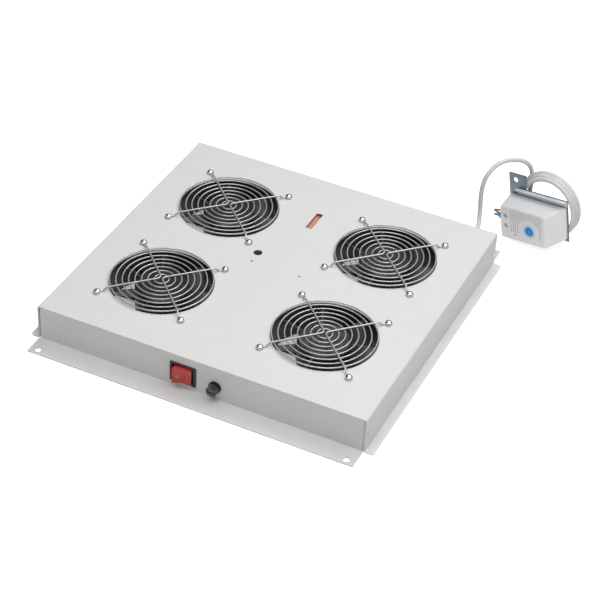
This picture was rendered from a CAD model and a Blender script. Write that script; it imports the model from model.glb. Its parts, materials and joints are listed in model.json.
"""Rack fan tray: wire guards, screws, switch, fuse cap, thermostat, lead, finishes and stage.

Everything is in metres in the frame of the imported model: X to the right seen from the switch,
Y to the rear, Z up, with the origin between the four fixing holes.  The pieces' own sizes are
given in millimetres and are named with the piece they belong to.
"""
import json
import math

import bmesh
import bpy
from mathutils import Matrix, Vector


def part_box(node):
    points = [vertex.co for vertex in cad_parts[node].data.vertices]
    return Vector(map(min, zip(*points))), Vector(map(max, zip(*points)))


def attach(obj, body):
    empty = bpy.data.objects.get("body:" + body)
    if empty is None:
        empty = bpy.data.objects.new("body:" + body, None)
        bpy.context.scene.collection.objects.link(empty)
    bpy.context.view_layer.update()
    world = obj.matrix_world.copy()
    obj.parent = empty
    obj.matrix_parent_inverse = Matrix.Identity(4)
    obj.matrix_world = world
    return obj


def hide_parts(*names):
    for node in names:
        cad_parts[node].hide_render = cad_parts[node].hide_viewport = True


bl_info = {
    "name": "Rack Fan Tray",
    "version": (1, 0, 0),
    "blender": (4, 5, 0),
    "location": "View3D > Sidebar > Fan Tray",
    "description": "Dresses the packed rack fan tray with its pieces and finishes",
    "category": "Object",
}

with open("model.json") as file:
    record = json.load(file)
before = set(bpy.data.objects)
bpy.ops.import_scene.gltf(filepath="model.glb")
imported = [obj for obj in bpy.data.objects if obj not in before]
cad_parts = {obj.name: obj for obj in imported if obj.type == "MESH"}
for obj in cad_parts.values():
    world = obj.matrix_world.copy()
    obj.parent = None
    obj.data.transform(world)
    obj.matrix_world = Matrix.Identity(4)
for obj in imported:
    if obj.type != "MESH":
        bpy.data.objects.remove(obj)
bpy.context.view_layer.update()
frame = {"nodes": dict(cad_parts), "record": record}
MM = 0.001
FULL_TURN = 2 * math.pi
MERGE_DISTANCE = 1e-7
SHARP_ANGLE = math.radians(38)

# ---------------------------------------------------------------- places in the tray
PLATE_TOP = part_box("tray_shell")[1].z
FRONT_WALL = -187.7 * MM
FANS = ("front_left", "front_right", "rear_left", "rear_right")
HALF_SCREW_PITCH = 52.5

# The thermostat stands turned and leans back; its coiled lead stands upright behind it.
STAT_X, STAT_Y, STAT_LIFT = 216.7 * MM, 234.1 * MM, 8.144 * MM
STAT_YAW = Matrix.Rotation(math.radians(-16.1), 4, "Z")
STAT_TILT = Matrix.Rotation(math.radians(-11.6), 4, "Y")
STAT_FRAME = Matrix.Translation((STAT_X, STAT_Y, STAT_LIFT)) @ STAT_YAW @ STAT_TILT
COIL_FRAME = Matrix.Translation((STAT_X, STAT_Y, 0)) @ STAT_YAW
FACE_FORWARD = Matrix.Rotation(math.radians(90), 4, "X")


def fan_centre(fan):
    """The middle of a fan, on the plane of the tray's top."""
    low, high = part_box("fan_frame_" + fan)
    middle = (low + high) / 2
    return Vector((middle.x, middle.y, PLATE_TOP))


def millimetres(*values):
    """A vector given in millimetres."""
    return Vector(values) * MM


# ---------------------------------------------------------------- node groups
def add_node(tree, kind, inputs=None, **settings):
    """A node with its settings and with each input set to a value or joined to a socket."""
    node = tree.nodes.new(kind)
    for key, value in settings.items():
        setattr(node, key, value)
    for key, value in (inputs or {}).items():
        if isinstance(value, bpy.types.NodeSocket):
            tree.links.new(value, node.inputs[key])
        else:
            node.inputs[key].default_value = value
    return node


def calculate(tree, operation, first, second, **settings):
    """The output of one calculation on two numbers or sockets."""
    return add_node(tree, "ShaderNodeMath", {0: first, 1: second}, operation=operation,
                    **settings).outputs[0]


def new_group(name, inputs, outputs):
    """An empty node group with named sockets."""
    group = bpy.data.node_groups.new(name, "ShaderNodeTree")
    for label, kind, value in inputs:
        socket = group.interface.new_socket(label, in_out="INPUT", socket_type=kind)
        socket.default_value = value
    for label, kind in outputs:
        group.interface.new_socket(label, in_out="OUTPUT", socket_type=kind)
    return group, group.nodes.new("NodeGroupInput"), group.nodes.new("NodeGroupOutput")


def make_surface_group(name, fine, coarse, streak):
    """Colour, roughness and height of a surface with fine grain, broad clouding and streaks.

    fine and coarse are noise scales per metre; streak stretches the fine grain along Z.
    """
    group, enter, leave = new_group(name, [
        ("Colour", "NodeSocketColor", (0.8, 0.8, 0.8, 1)), ("Shade", "NodeSocketFloat", 0.05),
        ("Roughness", "NodeSocketFloat", 0.5), ("Roughness Change", "NodeSocketFloat", 0.1)],
        [("Colour", "NodeSocketColor"), ("Roughness", "NodeSocketFloat"),
         ("Height", "NodeSocketFloat")])
    place = add_node(group, "ShaderNodeTexCoord")
    stretched = add_node(group, "ShaderNodeMapping", {
        "Vector": place.outputs["Object"], "Scale": (1, 1, streak)})
    grain = add_node(group, "ShaderNodeTexNoise", {
        "Vector": stretched.outputs[0], "Scale": fine, "Detail": 3.0, "Roughness": 0.6})
    clouds = add_node(group, "ShaderNodeTexNoise", {
        "Vector": place.outputs["Object"], "Scale": coarse, "Detail": 2.0})
    mixed = calculate(group, "ADD", grain.outputs[0], clouds.outputs[0])
    centred = calculate(group, "SUBTRACT", mixed, 1.0)
    shade = calculate(group, "MULTIPLY", centred, enter.outputs["Shade"])
    brightness = calculate(group, "ADD", shade, 1.0)
    scaled = add_node(group, "ShaderNodeVectorMath", {
        0: enter.outputs["Colour"], "Scale": brightness}, operation="SCALE")
    change = calculate(group, "MULTIPLY", centred, enter.outputs["Roughness Change"])
    rough = calculate(group, "ADD", change, enter.outputs["Roughness"], use_clamp=True)
    group.links.new(scaled.outputs[0], leave.inputs["Colour"])
    group.links.new(rough, leave.inputs["Roughness"])
    group.links.new(grain.outputs[0], leave.inputs["Height"])
    return group


def make_dulling_group():
    """Dulls a colour where a surface faces up, as settled dust does."""
    group, enter, leave = new_group("settled dust", [
        ("Colour", "NodeSocketColor", (0.8, 0.8, 0.8, 1)), ("Amount", "NodeSocketFloat", 0.2)],
        [("Colour", "NodeSocketColor")])
    surface = add_node(group, "ShaderNodeNewGeometry")
    parts = add_node(group, "ShaderNodeSeparateXYZ", {0: surface.outputs["Normal"]})
    upward = calculate(group, "MULTIPLY", parts.outputs[2], enter.outputs["Amount"],
                       use_clamp=True)
    kept = calculate(group, "SUBTRACT", 1.0, upward)
    dulled = add_node(group, "ShaderNodeVectorMath", {
        0: enter.outputs["Colour"], "Scale": kept}, operation="SCALE")
    group.links.new(dulled.outputs[0], leave.inputs["Colour"])
    return group


# ---------------------------------------------------------------- materials
# Each surface group's name, fine and coarse noise per metre, and stretch along Z.
SURFACES = {
    "coat": ("powder coat grain", 1400, 60, 1),
    "moulded": ("moulded plastic grain", 2600, 90, 1),
    "plated": ("plated metal", 3000, 120, 1),
    "drawn": ("drawn metal streaks", 2200, 80, 0.08),
    "flexible": ("flexible sheath", 1800, 45, 1),
    "fibrous": ("pressed board fibre", 900, 150, 1),
}
# Each finish's colour, surface group and settings.  The record's slots have one each; the last
# three are for details made here.
FINISHES = {
    "powder_coat": ("D7D7D5", "coat", dict(shade=0.06, roughness=0.48, change=0.16, bump=0.22,
                                           distance=0.0003, Specular_IOR_Level=0.4)),
    "rivet_steel": ("CFD0CF", "plated", dict(roughness=0.32, bump=0.05, metallic=0.9)),
    "screw_zinc": ("D9DBDC", "plated", dict(shade=0.06, roughness=0.2, bump=0.04, metallic=1.0)),
    "guard_chrome": ("BFC0C1", "plated", dict(shade=0.04, roughness=0.3, change=0.08, bump=0.03,
                                              metallic=0.55)),
    "terminal_brass": ("C2A35A", "plated", dict(shade=0.06, roughness=0.3, metallic=1.0)),
    "bracket_zinc": ("87929C", "drawn", dict(shade=0.2, roughness=0.34, change=0.2, bump=0.05,
                                             metallic=0.9)),
    "winding_steel": ("3A2E28", "moulded", dict(shade=0.2)),
    "fan_black": ("1C1D1F", "moulded", dict(shade=0.15, roughness=0.35, bump=0.08)),
    "rotor_black": ("2C2E30", "moulded", dict(shade=0.12, roughness=0.3, bump=0.05)),
    "switch_black": ("2B2D30", "moulded", dict(shade=0.1, roughness=0.42, bump=0.08)),
    "rocker_red": ("B8181A", "moulded", dict(roughness=0.2, change=0.05, bump=0.02,
                                             Coat_Weight=0.4, Coat_Roughness=0.1)),
    "fuse_black": ("27272A", "moulded", dict(shade=0.1, roughness=0.22, bump=0.05,
                                             Coat_Weight=0.6, Coat_Roughness=0.08)),
    "fuse_glass": ("DDE3E4", "moulded", dict(shade=0.02, roughness=0.05, change=0.0, bump=0.0,
                                             Transmission_Weight=0.8)),
    "gland_black": ("1E1F21", "moulded", dict(shade=0.1, roughness=0.45, bump=0.08)),
    "board_phenolic": ("C58A72", "fibrous", dict(shade=0.3)),
    "spacer_nylon": ("E4E2DA", "moulded", dict(shade=0.04)),
    "block_nylon": ("E8E6DF", "moulded", dict(shade=0.04, roughness=0.45)),
    "thermostat_plastic": ("F1F1F2", "moulded", dict(shade=0.03, roughness=0.4)),
    "dial_blue": ("2290E2", "moulded", dict(shade=0.06, roughness=0.3, bump=0.04)),
    "lead_sheath": ("D3D3D3", "flexible", dict(roughness=0.42, bump=0.08)),
    "core_brown": ("C2703E", "flexible", dict(shade=0.1, roughness=0.35)),
    "core_blue": ("4A92DC", "flexible", dict(shade=0.1, roughness=0.35)),
    "ledge_zinc": ("DDE6EC", "drawn", dict(shade=0.12, roughness=0.4, change=0.2, bump=0.05,
                                           metallic=0.15)),
    "mark_white": ("CF7F74", "moulded", dict(shade=0.1)),
    "scale_white": ("D3E8F4", "moulded", dict(shade=0.04, roughness=0.4)),
}
THERMOSTAT_DUST = 0.25
MATERIALS = {}


def tint(code):
    """Scene-linear colour of a six-digit code."""
    parts = [int(code[i:i + 2], 16) / 255 for i in (0, 2, 4)]
    return [p / 12.92 if p <= 0.04045 else ((p + 0.055) / 1.055) ** 2.4 for p in parts] + [1.0]


def make_material(name, colour, group, shade=0.05, roughness=0.5, change=0.1, bump=0.1,
                  distance=0.0002, metallic=0.0, **sockets):
    """A Principled material fed by one of the surface groups."""
    material = bpy.data.materials.new(name)
    material.use_nodes = True
    tree = material.node_tree
    shader = tree.nodes["Principled BSDF"]
    surface = add_node(tree, "ShaderNodeGroup", node_tree=group)
    for key, value in (("Colour", tint(colour)), ("Shade", shade), ("Roughness", roughness),
                       ("Roughness Change", change)):
        surface.inputs[key].default_value = value
    relief = add_node(tree, "ShaderNodeBump", {
        "Strength": bump, "Distance": distance, "Height": surface.outputs["Height"]})
    tree.links.new(surface.outputs["Colour"], shader.inputs["Base Color"])
    tree.links.new(surface.outputs["Roughness"], shader.inputs["Roughness"])
    tree.links.new(relief.outputs[0], shader.inputs["Normal"])
    shader.inputs["Metallic"].default_value = metallic
    for key, value in sockets.items():
        shader.inputs[key.replace("_", " ")].default_value = value
    return material


def dull(material, group, amount):
    """Puts the dust between a material's surface colour and its shader."""
    tree = material.node_tree
    shader = tree.nodes["Principled BSDF"]
    plain = shader.inputs["Base Color"].links[0].from_socket
    dust = add_node(tree, "ShaderNodeGroup", node_tree=group)
    dust.inputs["Amount"].default_value = amount
    tree.links.new(plain, dust.inputs["Colour"])
    tree.links.new(dust.outputs["Colour"], shader.inputs["Base Color"])


# ---------------------------------------------------------------- making pieces
def add_object(name, data):
    """A new object in the scene."""
    made = bpy.data.objects.new(name, data)
    bpy.context.scene.collection.objects.link(made)
    return made


def finish_mesh(bm, name, slot, body, replaced=(), finish=None):
    """Turns a finished bmesh into a piece that rides on a body, in its slot's or another finish."""
    bmesh.ops.remove_doubles(bm, verts=bm.verts, dist=MERGE_DISTANCE)
    bmesh.ops.recalc_face_normals(bm, faces=bm.faces)
    for face in bm.faces:
        face.smooth = True
    mesh = bpy.data.meshes.new(name)
    bm.to_mesh(mesh)
    bm.free()
    piece = add_object(name, mesh)
    mesh.materials.append(MATERIALS[finish or slot])
    mesh.set_sharp_from_angle(angle=SHARP_ANGLE)
    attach(piece, body)
    if replaced:
        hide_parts(*replaced)


def edges_of(verts):
    """Every edge that meets one of the vertices."""
    return list({edge for vert in verts for edge in vert.link_edges})


def faces_of(verts):
    """Every face that meets one of the vertices."""
    return list({face for vert in verts for face in vert.link_faces})


def only(kind, items):
    """Those of the items that are of one kind: vertices, edges or faces."""
    return [item for item in items if isinstance(item, kind)]


def block(bm, low, high, place=Matrix.Identity(4)):
    """A box between two corners in millimetres; returns its vertices."""
    low, high = millimetres(*low), millimetres(*high)
    made = bmesh.ops.create_cube(bm, size=1.0)["verts"]
    bmesh.ops.scale(bm, vec=high - low, verts=made)
    bmesh.ops.translate(bm, vec=(low + high) / 2, verts=made)
    bmesh.ops.transform(bm, matrix=place, verts=made)
    return made


def lathe(bm, profile, place=Matrix.Identity(4), steps=32):
    """Spins a profile of (radius, height) pairs in millimetres about Z and sets it in place."""
    older = set(bm.verts)
    verts = [bm.verts.new((radius * MM, 0, height * MM)) for radius, height in profile]
    edges = [bm.edges.new(pair) for pair in zip(verts, verts[1:])]
    bmesh.ops.spin(bm, geom=verts + edges, cent=(0, 0, 0), axis=(0, 0, 1), angle=FULL_TURN,
                   steps=steps, use_merge=True)
    bmesh.ops.remove_doubles(bm, verts=[vert for vert in bm.verts if vert not in older],
                             dist=MERGE_DISTANCE)
    bmesh.ops.transform(bm, matrix=place, verts=[vert for vert in bm.verts if vert not in older])


def raise_faces(bm, faces, height):
    """Extrudes faces along Z by so many millimetres; returns the raised vertices and faces."""
    grown = bmesh.ops.extrude_face_region(bm, geom=faces)["geom"]
    verts = only(bmesh.types.BMVert, grown)
    bmesh.ops.translate(bm, verts=verts, vec=(0, 0, height * MM))
    return verts, only(bmesh.types.BMFace, grown)


def push_face(bm, face, way):
    """Extrudes one face along a vector in millimetres; returns the moved face."""
    moved = bmesh.ops.extrude_discrete_faces(bm, faces=[face])["faces"][0]
    bmesh.ops.translate(bm, verts=moved.verts[:], vec=millimetres(*way))
    return moved


def soften(bm, edges, width, segments=2):
    """Rounds edges by so many millimetres."""
    bmesh.ops.bevel(bm, geom=edges, offset=width * MM, offset_type="OFFSET", affect="EDGES",
                    segments=segments, profile=0.5, material=-1, clamp_overlap=True)


def wire_start(bm, radius, at, heading, sides=12):
    """The round end of a wire that sets off in a direction; returns its vertices."""
    turned = Vector(heading).to_track_quat("Z", "Y").to_matrix().to_4x4()
    return bmesh.ops.create_circle(bm, cap_ends=True, radius=radius, segments=sides,
                                   matrix=Matrix.Translation(at) @ turned)["verts"]


class Bender:
    """Bends a wire or folds a strip step by step from its first end face."""

    def __init__(self, bm, end, at, heading):
        self.bm = bm
        self.at = Vector(at)
        self.heading = Vector(heading).normalized()
        self.edges = [edge for edge in edges_of(end) if all(vert in end for vert in edge.verts)]

    def forward(self, length):
        """Goes straight on."""
        grown = bmesh.ops.extrude_edge_only(self.bm, edges=self.edges)["geom"]
        verts = only(bmesh.types.BMVert, grown)
        bmesh.ops.translate(self.bm, verts=verts, vec=self.heading * length)
        self.edges = [edge for edge in only(bmesh.types.BMEdge, grown)
                      if all(vert in verts for vert in edge.verts)]
        self.at = self.at + self.heading * length

    def turn(self, degrees, radius, axis=(0, 0, 1), steps=None):
        """Turns left about the axis by so many degrees, or right when they are negative."""
        axis = Vector(axis)
        side = axis.cross(self.heading) * (radius if degrees > 0 else -radius)
        centre = self.at + side
        angle = math.radians(degrees)
        steps = steps or max(3, round(abs(degrees) / 9))
        last = bmesh.ops.spin(self.bm, geom=self.edges, cent=centre, axis=axis, angle=angle,
                              steps=steps)["geom_last"]
        self.edges = only(bmesh.types.BMEdge, last)
        rotation = Matrix.Rotation(angle, 3, axis)
        self.at = centre + rotation @ (self.at - centre)
        self.heading = rotation @ self.heading

    def end(self):
        """Closes the far end with a face."""
        bmesh.ops.contextual_create(self.bm, geom=self.edges)


# ---------------------------------------------------------------- what a user may change
class FanTraySizes(bpy.types.PropertyGroup):
    """Sizes of the pieces made here."""
    ring_wire: bpy.props.FloatProperty(
        name="Ring wire", description="Diameter of the guard rings' wire", default=1.6 * MM,
        unit="LENGTH")
    spoke_wire: bpy.props.FloatProperty(
        name="Spoke wire", description="Diameter of the guard spokes' wire", default=2.0 * MM,
        unit="LENGTH")
    first_ring: bpy.props.FloatProperty(
        name="First ring", description="Radius of the smallest guard ring", default=8.3 * MM,
        unit="LENGTH")
    ring_step: bpy.props.FloatProperty(
        name="Ring step", description="Distance from ring to ring", default=7.1 * MM,
        unit="LENGTH")
    lead_diameter: bpy.props.FloatProperty(
        name="Lead", description="Diameter of the thermostat lead", default=5.6 * MM,
        unit="LENGTH")
    coil_radius: bpy.props.FloatProperty(
        name="Coil", description="Radius of the middle of the coil's turns", default=38.6 * MM,
        unit="LENGTH")


class FanTrayColours(bpy.types.PropertyGroup):
    """Colours of the stage."""
    floor: bpy.props.FloatVectorProperty(
        name="Floor", description="Colour of the floor", subtype="COLOR", size=4,
        default=(0.70, 0.70, 0.70, 1), min=0, max=1)
    world: bpy.props.FloatVectorProperty(
        name="Surroundings", description="Light from all around", subtype="COLOR", size=4,
        default=(0.15, 0.15, 0.152, 1), min=0, max=1)


def sizes():
    """The sizes that the user has set."""
    return bpy.context.scene.fan_tray_sizes


def stage_colour(name):
    """One of the stage's colours that the user has set."""
    return tuple(getattr(bpy.context.scene.fan_tray_colours, name))


# ---------------------------------------------------------------- stage
CAMERA_PLACE = (0.7174, -1.5684, 1.3381)
CAMERA_TARGET = (0.05642, -0.04283, 0.044)
CAMERA_ROLL = math.radians(3.412)
CAMERA_LENS = 112.92
CAMERA_SENSOR = 36
# Each softbox's name, place, width and height in metres, and power in watts.
SOFTBOXES = (
    ("front_softbox", (0.1, -0.9, 1.7), 1.4, 1.0, 17),
    ("rear_softbox", (0.1, 1.0, 1.7), 1.4, 1.0, 17),
    ("right_softbox", (1.1, 0, 1.5), 1.0, 1.2, 10.5),
)
FLOOR_REACH = 4.0
SHADED_WIDE, SHADED_DEEP = 0.19, 0.17
OPEN_GLOW, SHADED_GLOW, MIRRORED_GLOW = 0.7, 0.35, 0.25


def aimed(place, target):
    """The matrix of a lamp or camera at a place that looks at a target."""
    aim = (Vector(target) - Vector(place)).to_track_quat("-Z", "Y").to_matrix().to_4x4()
    return Matrix.Translation(place) @ aim


class FANTRAY_OT_stage(bpy.types.Operator):
    """Sets up the camera, the lamps, the pale floor and the surroundings"""
    bl_idname = "fan_tray.stage"
    bl_label = "Stage"

    def execute(self, context):
        self.camera()
        self.lamps()
        self.floor()
        self.surroundings()
        return {"FINISHED"}

    def camera(self):
        """A long lens that looks down at the tray from its front right."""
        data = bpy.data.cameras.new("camera")
        data.lens = CAMERA_LENS
        data.sensor_width = CAMERA_SENSOR
        camera = add_object("camera", data)
        camera.matrix_world = aimed(CAMERA_PLACE, CAMERA_TARGET) @ Matrix.Rotation(
            CAMERA_ROLL, 4, "Z")
        bpy.context.scene.camera = camera

    def lamps(self):
        """Softboxes above the tray, each aimed at its middle."""
        for name, place, width, height, power in SOFTBOXES:
            data = bpy.data.lights.new(name, "AREA")
            data.shape = "RECTANGLE"
            data.size = width
            data.size_y = height
            data.energy = power
            add_object(name, data).matrix_world = aimed(place, (0, 0, 0))

    def floor(self):
        """A pale floor whose patch under the tray is dimmer, as it is seen through the fans."""
        bm = bmesh.new()
        bmesh.ops.create_grid(bm, x_segments=1, y_segments=1, size=FLOOR_REACH)
        for x, y in ((SHADED_WIDE, 0), (-SHADED_WIDE, 0), (0, SHADED_DEEP), (0, -SHADED_DEEP)):
            bmesh.ops.bisect_plane(bm, geom=bm.verts[:] + bm.edges[:] + bm.faces[:],
                                   plane_co=(x, y, 0), plane_no=Vector((x, y, 0)).normalized())
        for face in bm.faces:
            middle = face.calc_center_median()
            face.material_index = int(abs(middle.x) < SHADED_WIDE
                                      and abs(middle.y) < SHADED_DEEP)
        mesh = bpy.data.meshes.new("floor")
        bm.to_mesh(mesh)
        bm.free()
        floor = add_object("floor", mesh)
        mesh.materials.append(self.floor_material("floor_white", OPEN_GLOW))
        mesh.materials.append(self.floor_material("floor_under_tray", SHADED_GLOW))

    def floor_material(self, name, glow):
        """A matt floor that the camera sees paler by so much than the light makes it."""
        material = bpy.data.materials.new(name)
        material.use_nodes = True
        tree = material.node_tree
        shader = tree.nodes["Principled BSDF"]
        shader.inputs["Base Color"].default_value = stage_colour("floor")
        shader.inputs["Roughness"].default_value = 1.0
        shader.inputs["Specular IOR Level"].default_value = 0.0
        shader.inputs["Emission Color"].default_value = (1, 1, 1, 1)
        rays = add_node(tree, "ShaderNodeLightPath")
        mirrored = calculate(tree, "ADD", rays.outputs["Is Glossy Ray"],
                             rays.outputs["Is Transmission Ray"])
        faint = calculate(tree, "MULTIPLY", mirrored, MIRRORED_GLOW)
        strength = add_node(tree, "ShaderNodeMath", {
            0: rays.outputs["Is Camera Ray"], 1: glow, 2: faint}, operation="MULTIPLY_ADD")
        tree.links.new(strength.outputs[0], shader.inputs["Emission Strength"])
        return material

    def surroundings(self):
        """A dim room that is white where it is looked at or seen through glass."""
        world = bpy.data.worlds.new("studio")
        bpy.context.scene.world = world
        world.use_nodes = True
        tree = world.node_tree
        tree.nodes.clear()
        rays = add_node(tree, "ShaderNodeLightPath")
        seen = calculate(tree, "ADD", rays.outputs["Is Camera Ray"],
                         rays.outputs["Is Transmission Ray"], use_clamp=True)
        room = add_node(tree, "ShaderNodeBackground", {"Color": stage_colour("world")})
        white = add_node(tree, "ShaderNodeBackground", {"Color": (1, 1, 1, 1)})
        mix = add_node(tree, "ShaderNodeMixShader", {
            0: seen, 1: room.outputs[0], 2: white.outputs[0]})
        add_node(tree, "ShaderNodeOutputWorld", {"Surface": mix.outputs[0]})
        bpy.context.scene.view_settings.view_transform = "Standard"


# ---------------------------------------------------------------- finishes of the solids
class FANTRAY_OT_finishes(bpy.types.Operator):
    """Gives every solid of the frame the finish of its slot"""
    bl_idname = "fan_tray.finishes"
    bl_label = "Finishes"

    def execute(self, context):
        groups = {key: make_surface_group(*values) for key, values in SURFACES.items()}
        for name, (colour, surface, settings) in FINISHES.items():
            MATERIALS[name] = make_material(name, colour, groups[surface], **settings)
        dull(MATERIALS["thermostat_plastic"], make_dulling_group(), THERMOSTAT_DUST)
        for entry in frame["record"]["subparts"]:
            node = frame["nodes"][entry["node"]]
            node.data.materials.clear()
            node.data.materials.append(MATERIALS[entry["material_slot"]])
        return {"FINISHED"}


# ---------------------------------------------------------------- thermostat lead
# The route's points in millimetres: the arch in the tray's frame, the tail in the coil's.
ARCH = [(161.5, 200.7, 13.5), (162.6, 222.5, 14.3), (157.5, 237.4, 30.0), (155.4, 237.5, 59.1),
        (158.0, 239.9, 81.5), (168.5, 256.8, 96.3), (187.0, 276.0, 93.8), (197.0, 288.5, 81.5),
        (199.8, 293.6, 64.0), (199.9, 292.7, 52.0)]
TAIL = [(-38.0, 41.0, 22.0), (-48.0, 42.0, 4.6), (-53.5, 24.0, 6.5), (-48.5, 16.5, 17.5)]
COIL_MIDDLE = millimetres(1.4, 50.2, 41.6)
COIL_TURNS = 3
TURN_POINTS = 20
TURN_STEP = -5.6 * MM        # from turn to turn, to the rear
FIRST_TUCK = 4.9 * MM        # the first half turn lies this much inside
FAN_OUT = 3.0 * MM           # the turns' spread at the upper left, outwards
FAN_LEAN = 2.6 * MM          # and forwards
FAN_ANGLE = math.radians(145)


def ease(value):
    """A smooth rise from 0 to 1 between those two values."""
    value = max(0.0, min(1.0, value))
    return value * value * (3 - 2 * value)


def coil_point(turn):
    """A point of the coil: the turns lie side by side and fan out at their upper left.

    The first half turn starts inside the others, and each turn steps over at the bottom.
    """
    angle = math.pi + FULL_TURN * turn
    stepped = sum(ease((turn - number - 0.05) / 0.4) for number in range(1, COIL_TURNS))
    corner = max(0.0, math.cos(angle - FAN_ANGLE)) ** 2 if turn > 0.5 else 0.0
    radius = sizes().coil_radius + FAN_OUT * (1 - stepped) * corner
    radius -= FIRST_TUCK * (1 - ease((turn - 0.25) / 0.25))
    back = stepped * TURN_STEP - FAN_LEAN * corner * (1 - stepped / 2)
    return COIL_MIDDLE + Vector((radius * math.cos(angle), back, radius * math.sin(angle)))


class FANTRAY_OT_lead(bpy.types.Operator):
    """Lays the thermostat's lead: arch, coil and tail in one smooth line"""
    bl_idname = "fan_tray.lead"
    bl_label = "Thermostat lead"

    def execute(self, context):
        points = [millimetres(*point) for point in ARCH]
        for step in range(COIL_TURNS * TURN_POINTS + 1):
            points.append(COIL_FRAME @ coil_point(step / TURN_POINTS))
        points += [COIL_FRAME @ millimetres(*point) for point in TAIL]
        curve = bpy.data.curves.new("thermostat_lead", "CURVE")
        curve.dimensions = "3D"
        spline = curve.splines.new("NURBS")
        spline.points.add(len(points) - 1)
        for knot, point in zip(spline.points, points):
            knot.co = (*point, 1)
        spline.order_u = 3
        spline.use_endpoint_u = True
        spline.resolution_u = 8
        curve.bevel_depth = sizes().lead_diameter / 2
        curve.bevel_resolution = 4
        curve.use_fill_caps = True
        lead = add_object("thermostat_lead", curve)
        curve.materials.append(MATERIALS["lead_sheath"])
        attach(lead, "tray")
        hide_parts("lead_arch", "lead_coil", "lead_tail")
        return {"FINISHED"}


# ---------------------------------------------------------------- guards
RING_COUNT = 8
RING_STEPS = 72
RING_SIDES = 10
RING_LIFT = 2.7 * MM
EYE_REACH = HALF_SCREW_PITCH * MM * math.sqrt(2)
EYE_RADIUS = 3.3 * MM
EYE_OPEN = 38
EYE_NECK = 2.0 * MM
STEP_START = 68 * MM
STEP_SLOPE = 40
STEP_RADIUS = 2.5 * MM
CENTRE_BEND = 5.0 * MM


class FANTRAY_OT_guards(bpy.types.Operator):
    """Bends and welds the four wire finger guards"""
    bl_idname = "fan_tray.guards"
    bl_label = "Wire guards"

    def execute(self, context):
        for fan in FANS:
            bm = bmesh.new()
            centre = fan_centre(fan)
            self.rings(bm, centre)
            for first in (225, 45):
                self.spoke_pair(bm, centre, math.radians(first))
            finish_mesh(bm, "wire_guard_" + fan, "guard_chrome", "tray", ("fan_guard_" + fan,))
        return {"FINISHED"}

    def rings(self, bm, centre):
        """The rings, one inside another, a little above the plate."""
        wire = sizes().ring_wire / 2
        for number in range(RING_COUNT):
            radius = sizes().first_ring + number * sizes().ring_step
            start = centre + Vector((radius, 0, RING_LIFT + wire))
            section = bmesh.ops.create_circle(
                bm, radius=wire, segments=RING_SIDES,
                matrix=Matrix.Translation(start) @ FACE_FORWARD)["verts"]
            bmesh.ops.spin(bm, geom=section + edges_of(section), cent=centre, axis=(0, 0, 1),
                           angle=FULL_TURN, steps=RING_STEPS, use_merge=True)

    def spoke_pair(self, bm, centre, first):
        """One wire: eye, step, spoke, bend at the centre, spoke, step, eye."""
        wire = sizes().spoke_wire / 2
        eye = centre + Vector((EYE_REACH * math.cos(first), EYE_REACH * math.sin(first), wire))
        eye_side = math.sqrt(EYE_RADIUS ** 2 + 2 * EYE_RADIUS * EYE_NECK)
        neck = math.degrees(math.atan2(EYE_NECK, eye_side))
        foot = EYE_REACH - eye_side - STEP_START
        begin = first + math.pi + math.radians(EYE_OPEN)
        start = eye + EYE_RADIUS * Vector((math.cos(begin), math.sin(begin), 0))
        heading = (-math.sin(begin), math.cos(begin), 0)
        rise = RING_LIFT + sizes().ring_wire
        slope = math.radians(STEP_SLOPE)
        ramp = (rise - 2 * STEP_RADIUS * (1 - math.cos(slope))) / math.sin(slope)
        step_end = STEP_START - 2 * STEP_RADIUS * math.sin(slope) - ramp * math.cos(slope)

        bender = Bender(bm, wire_start(bm, wire, start, heading), start, heading)
        bender.turn(360 - neck - EYE_OPEN, EYE_RADIUS)
        bender.turn(neck - 90, EYE_NECK)
        bender.forward(foot)
        self.step(bender, ramp, 1)
        bender.forward(step_end - CENTRE_BEND)
        bender.turn(90, CENTRE_BEND, steps=8)
        bender.forward(step_end - CENTRE_BEND)
        self.step(bender, ramp, -1)
        bender.forward(foot)
        bender.turn(90 - neck, EYE_NECK)
        bender.turn(neck + EYE_OPEN - 360, EYE_RADIUS)
        bender.end()

    def step(self, bender, ramp, way):
        """Lifts the wire over the rings, or back down with way -1."""
        side = bender.heading.cross(Vector((0, 0, 1)))
        bender.turn(STEP_SLOPE * way, STEP_RADIUS, side, steps=4)
        bender.forward(ramp)
        bender.turn(-STEP_SLOPE * way, STEP_RADIUS, side, steps=4)


# ---------------------------------------------------------------- guard screws
SHANK_RADIUS, SHANK_LENGTH, SHANK_TIP = 1.9, 16, 0.5
HEAD_RADIUS, HEAD_EDGE, HEAD_DOME = 4.0, 0.4, 2.34
DOME_STEPS = 8


class FANTRAY_OT_guard_screws(bpy.types.Operator):
    """Turns the sixteen domed screws that hold the guards"""
    bl_idname = "fan_tray.guard_screws"
    bl_label = "Guard screws"

    def execute(self, context):
        profile = [(0, -SHANK_LENGTH), (SHANK_RADIUS, SHANK_TIP - SHANK_LENGTH),
                   (SHANK_RADIUS, 0), (HEAD_RADIUS, 0), (HEAD_RADIUS, HEAD_EDGE)]
        for step in range(1, DOME_STEPS + 1):
            angle = math.radians(90 * step / DOME_STEPS)
            profile.append((HEAD_RADIUS * math.cos(angle),
                            HEAD_EDGE + HEAD_DOME * math.sin(angle)))
        bm = bmesh.new()
        for fan in FANS:
            for x in (-HALF_SCREW_PITCH, HALF_SCREW_PITCH):
                for y in (-HALF_SCREW_PITCH, HALF_SCREW_PITCH):
                    seat = fan_centre(fan) + millimetres(x, y, 0)
                    seat.z += sizes().spoke_wire
                    lathe(bm, profile, Matrix.Translation(seat), 24)
        finish_mesh(bm, "domed_screws", "screw_zinc", "tray", ("guard_screws",))
        return {"FINISHED"}


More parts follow.
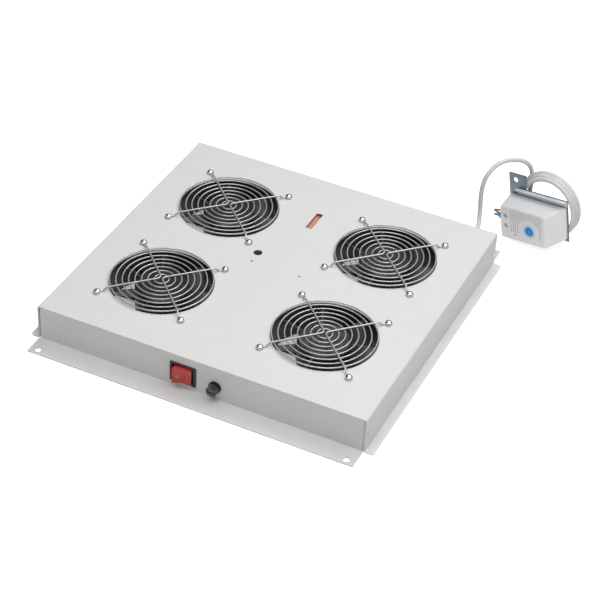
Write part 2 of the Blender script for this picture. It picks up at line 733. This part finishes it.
# ---------------------------------------------------------------- switch
SWITCH = Vector((-16.5 * MM, FRONT_WALL, 21 * MM))
BEZEL_WIDE, BEZEL_HIGH, BEZEL_RISE = 31.5, 25.0, 2
BEZEL_LIP, BEZEL_ROUNDING = 2.15, 0.7
OPENING_WIDE, OPENING_HIGH, OPENING_DEEP = 24.2, 20.9, 12
HOUSING_LOW, HOUSING_HIGH = (-14, 0, -11.1), (14, 22, 11.1)
ROCKER_PIVOT = SWITCH + millimetres(0, 1, 0)
ROCKER_TILT = math.radians(11)
ROCKER_HALF, ROCKER_HIGH = 10.9, 20.2
ROCKER_FACE, ROCKER_HOLLOW = 5.6, 2.4     # in front of the pivot, and more at the ends
ROCKER_BACK = 3.2
ROCKER_STEPS = 12
ROCKER_ROUNDING = 0.5
PIN_RADIUS, PIN_HALF = 1.2, 10.6
MARK_X, MARK_Y, MARK_Z, MARK_TURN = 5.4, -6.19, -1.5, 12.4
BAR_LOW, BAR_HIGH = (-0.35, -0.1, -1.7), (0.35, 0.3, 1.7)
MARK_RING = [(1.1, -0.3), (1.1, 0.1), (1.8, 0.1), (1.8, -0.3), (1.1, -0.3)]


class FANTRAY_OT_switch(bpy.types.Operator):
    """Moulds the rocker switch: bezel, rocker and its marks"""
    bl_idname = "fan_tray.switch"
    bl_label = "Rocker switch"

    def execute(self, context):
        self.housing()
        place = Matrix.Translation(ROCKER_PIVOT) @ Matrix.Rotation(ROCKER_TILT, 4, "Z")
        self.rocker(place)
        self.marks(place)
        return {"FINISHED"}

    def housing(self):
        """The bezel with its deep opening, and the body behind the wall."""
        bm = bmesh.new()
        place = Matrix.Translation(SWITCH)
        bezel = block(bm, (-BEZEL_WIDE / 2, -BEZEL_RISE, -BEZEL_HIGH / 2),
                      (BEZEL_WIDE / 2, 0, BEZEL_HIGH / 2), place)
        front = min(faces_of(bezel), key=lambda face: face.calc_center_median().y)
        outside = front.edges[:] + [edge for edge in edges_of(bezel) if abs(
            edge.verts[0].co.y - edge.verts[1].co.y) > MM]
        bmesh.ops.inset_individual(bm, faces=[front], thickness=BEZEL_LIP * MM)
        bmesh.ops.scale(bm, verts=front.verts[:], space=Matrix.Translation(-SWITCH), vec=(
            OPENING_WIDE / (BEZEL_WIDE - 2 * BEZEL_LIP), 1,
            OPENING_HIGH / (BEZEL_HIGH - 2 * BEZEL_LIP)))
        push_face(bm, front, (0, OPENING_DEEP, 0))
        soften(bm, outside, BEZEL_ROUNDING, 3)
        block(bm, HOUSING_LOW, HOUSING_HIGH, place)
        finish_mesh(bm, "rocker_bezel", "switch_black", "tray", ("switch_housing",))

    def rocker(self, place):
        """The rocker with its hollow face, and the pin that it tips on."""
        outline = []
        for step in range(ROCKER_STEPS + 1):
            share = 2 * step / ROCKER_STEPS - 1
            outline.append((ROCKER_HALF * share, -(ROCKER_FACE + ROCKER_HOLLOW * share * share)))
        outline += [(ROCKER_HALF - 1, 0), (ROCKER_HALF / 2, ROCKER_BACK),
                    (-ROCKER_HALF / 2, ROCKER_BACK), (1 - ROCKER_HALF, 0)]
        bm = bmesh.new()
        face = bm.faces.new([bm.verts.new(millimetres(x, y, -ROCKER_HIGH / 2))
                             for x, y in outline])
        raise_faces(bm, [face], ROCKER_HIGH)
        rims = [edge for edge in bm.edges
                if abs(edge.verts[0].co.z - edge.verts[1].co.z) < MERGE_DISTANCE]
        soften(bm, rims, ROCKER_ROUNDING)
        lathe(bm, [(0, -PIN_HALF), (PIN_RADIUS, -PIN_HALF), (PIN_RADIUS, PIN_HALF),
                   (0, PIN_HALF)], steps=16)
        bmesh.ops.transform(bm, matrix=place, verts=bm.verts)
        finish_mesh(bm, "red_rocker", "rocker_red", "rocker", ("switch_rocker",))

    def marks(self, place):
        """The ring and the bar that stand for off and on."""
        bm = bmesh.new()
        off, on = (place @ Matrix.Translation(millimetres(side * MARK_X, MARK_Y, MARK_Z))
                   @ Matrix.Rotation(math.radians(-side * MARK_TURN), 4, "Z")
                   for side in (-1, 1))
        lathe(bm, MARK_RING, off @ FACE_FORWARD, 24)
        block(bm, BAR_LOW, BAR_HIGH, on)
        finish_mesh(bm, "rocker_marks", "rocker_red", "rocker", finish="mark_white")


# ---------------------------------------------------------------- fuse holder
CAP_SEAT = Vector((22 * MM, FRONT_WALL - 1.9 * MM, 18 * MM))
CAP_RIBS, CAP_RADIUS, CAP_VALLEY = 18, 6.2, 5.6
CAP_LENGTH, CAP_NOSE, CAP_TAPER = 8.2, 0.8, 0.86
CAP_RIM, CAP_RECESS = 0.8, 0.7
CAP_INSIDE = [(0, 0), (4.2, 0), (4.2, -10), (2.7, -10), (2.7, -4), (0, -4)]
COIN_RADIUS, COIN_SLOT, COIN_DEPTH = 4.3, 1.5, 0.8


class FANTRAY_OT_fuse_cap(bpy.types.Operator):
    """Moulds the ribbed cap of the fuse holder"""
    bl_idname = "fan_tray.fuse_cap"
    bl_label = "Fuse cap"

    def execute(self, context):
        bm = bmesh.new()
        self.ribbed_cap(bm)
        lathe(bm, CAP_INSIDE, steps=24)
        for half_turn in (0, math.pi):
            self.coin_half(bm, half_turn)
        bmesh.ops.transform(bm, matrix=Matrix.Translation(CAP_SEAT) @ FACE_FORWARD,
                            verts=bm.verts)
        finish_mesh(bm, "ribbed_fuse_cap", "fuse_black", "fuse_cap", ("fuse_cap",))
        return {"FINISHED"}

    def ribbed_cap(self, bm):
        """The grip with a tapered nose and a shallow recess."""
        ring = bmesh.ops.create_circle(bm, cap_ends=True, radius=CAP_RADIUS * MM,
                                       segments=CAP_RIBS * 4)["verts"]
        for number, vert in enumerate(ring):
            if number % 4 in (2, 3):
                vert.co *= CAP_VALLEY / CAP_RADIUS
        front = raise_faces(bm, faces_of(ring), CAP_LENGTH)[1][0]
        nose = push_face(bm, front, (0, 0, CAP_NOSE))
        bmesh.ops.scale(bm, vec=(CAP_TAPER, CAP_TAPER, 1), verts=nose.verts[:])
        bmesh.ops.inset_individual(bm, faces=[nose], thickness=CAP_RIM * MM)
        push_face(bm, nose, (0, 0, -CAP_RECESS))

    def coin_half(self, bm, half_turn):
        """One of the two raised half discs that leave the coin slot between them."""
        disc = bmesh.ops.create_circle(bm, cap_ends=True, radius=COIN_RADIUS * MM,
                                       segments=32)["verts"]
        cut = bmesh.ops.bisect_plane(bm, geom=disc + edges_of(disc) + faces_of(disc),
                                     plane_co=(0, COIN_SLOT / 2 * MM, 0), plane_no=(0, 1, 0),
                                     clear_inner=True)["geom"]
        half = only(bmesh.types.BMFace, cut)
        raised = raise_faces(bm, half, COIN_DEPTH)[0]
        made = {vert for face in half for vert in face.verts} | set(raised)
        floor = CAP_LENGTH + CAP_NOSE - CAP_RECESS
        bmesh.ops.transform(bm, verts=list(made), matrix=Matrix.Translation(
            (0, 0, floor * MM)) @ Matrix.Rotation(half_turn, 4, "Z"))


# ---------------------------------------------------------------- thermostat
DIAL_FACE = STAT_FRAME @ Matrix.Translation(millimetres(9.4, 0, 17.3)) @ FACE_FORWARD
KNOB = [(0, -9.0), (2.4, -9.0), (2.4, -0.9), (5.7, -0.9), (5.7, -0.2), (5.4, 0.7), (4.9, 1.2),
        (4.2, 1.35), (0, 1.35)]
POINTER_LOW, POINTER_HIGH, POINTER_ROUNDING = (-0.7, -3.9, 1.0), (0.7, 3.9, 1.4), 0.15
SCALE_RING = [(6.1, -1.1), (6.1, 0.05), (8.3, 0.05), (8.3, -1.1), (6.1, -1.1)]
STROKE_LOW, STROKE_HIGH = (-0.12, 6.7, 0), (0.12, 7.8, 0.12)
STROKE_COUNT, SCALE_END = 11, 135
DOT_FACE = STAT_FRAME @ Matrix.Translation(millimetres(-11.4, 0, 7.3)) @ FACE_FORWARD
DOT = [(0, -0.3), (0.9, -0.3), (0.9, 0.06), (0.5, 0.02), (0, 0.02)]
LEDGE_LOW, LEDGE_HIGH = (-30, 33.7, 43.0), (41.4, 34.9, 43.2)
LEDGE_RISE, LEDGE_BEND, LEDGE_REACH = 5.3 * MM, 1.6 * MM, 4.6 * MM


class FANTRAY_OT_thermostat(bpy.types.Operator):
    """Adds the thermostat's knob, scale, cover mark and the bracket's folded ledge"""
    bl_idname = "fan_tray.thermostat"
    bl_label = "Thermostat"

    def execute(self, context):
        self.knob()
        self.scale()
        self.dot()
        self.ledge()
        return {"FINISHED"}

    def knob(self):
        """The round knob with a raised pointer across it."""
        bm = bmesh.new()
        lathe(bm, KNOB, DIAL_FACE, 40)
        pointer = block(bm, POINTER_LOW, POINTER_HIGH, DIAL_FACE)
        soften(bm, edges_of(pointer), POINTER_ROUNDING)
        finish_mesh(bm, "dial_knob", "dial_blue", "dial", ("thermostat_dial",))

    def scale(self):
        """The pale ring with its raised strokes round the knob."""
        bm = bmesh.new()
        lathe(bm, SCALE_RING, DIAL_FACE, 48)
        for stroke in range(STROKE_COUNT):
            angle = SCALE_END * (2 * stroke / (STROKE_COUNT - 1) - 1)
            block(bm, STROKE_LOW, STROKE_HIGH,
                  DIAL_FACE @ Matrix.Rotation(math.radians(angle), 4, "Z"))
        finish_mesh(bm, "dial_scale", "thermostat_plastic", "tray", finish="scale_white")

    def dot(self):
        """The small dark dot low on the cover."""
        bm = bmesh.new()
        lathe(bm, DOT, DOT_FACE, 16)
        finish_mesh(bm, "cover_mark", "gland_black", "tray")

    def ledge(self):
        """A strip folded forward along the top of the bracket's plate."""
        bm = bmesh.new()
        foot = block(bm, LEDGE_LOW, LEDGE_HIGH)
        top = max(faces_of(foot), key=lambda face: face.calc_center_median().z)
        end, middle = top.verts[:], top.calc_center_median()
        bmesh.ops.delete(bm, geom=[top], context="FACES_ONLY")
        bender = Bender(bm, end, middle, (0, 0, 1))
        bender.forward(LEDGE_RISE)
        bender.turn(90, LEDGE_BEND, (1, 0, 0), steps=6)
        bender.forward(LEDGE_REACH)
        bender.end()
        bmesh.ops.transform(bm, matrix=STAT_FRAME, verts=bm.verts)
        finish_mesh(bm, "bracket_ledge", "bracket_zinc", "tray", finish="ledge_zinc")


# ---------------------------------------------------------------- the panel and the run
OPERATORS = (FANTRAY_OT_stage, FANTRAY_OT_finishes, FANTRAY_OT_lead, FANTRAY_OT_guards,
             FANTRAY_OT_guard_screws, FANTRAY_OT_switch, FANTRAY_OT_fuse_cap,
             FANTRAY_OT_thermostat)


class FANTRAY_PT_panel(bpy.types.Panel):
    """Lists the tray's sizes, colours and pieces"""
    bl_idname = "FANTRAY_PT_panel"
    bl_label = "Rack Fan Tray"
    bl_space_type = "VIEW_3D"
    bl_region_type = "UI"
    bl_category = "Fan Tray"

    def draw(self, context):
        for group in (context.scene.fan_tray_sizes, context.scene.fan_tray_colours):
            for name in group.bl_rna.properties.keys():
                if name not in ("name", "rna_type"):
                    self.layout.prop(group, name)
        for operator in OPERATORS:
            self.layout.operator(operator.bl_idname)


CLASSES = (FanTraySizes, FanTrayColours) + OPERATORS + (FANTRAY_PT_panel,)


def register():
    for item in CLASSES:
        bpy.utils.register_class(item)
    bpy.types.Scene.fan_tray_sizes = bpy.props.PointerProperty(type=FanTraySizes)
    bpy.types.Scene.fan_tray_colours = bpy.props.PointerProperty(type=FanTrayColours)


def unregister():
    del bpy.types.Scene.fan_tray_colours
    del bpy.types.Scene.fan_tray_sizes
    for item in reversed(CLASSES):
        bpy.utils.unregister_class(item)


def plain(box):
    """A box as plain lists of numbers."""
    return [[float(value) for value in corner] for corner in box]


def main():
    register()
    for operator in OPERATORS:
        family, name = operator.bl_idname.split(".")
        getattr(getattr(bpy.ops, family), name)()


if __name__ == "__main__":
    main()
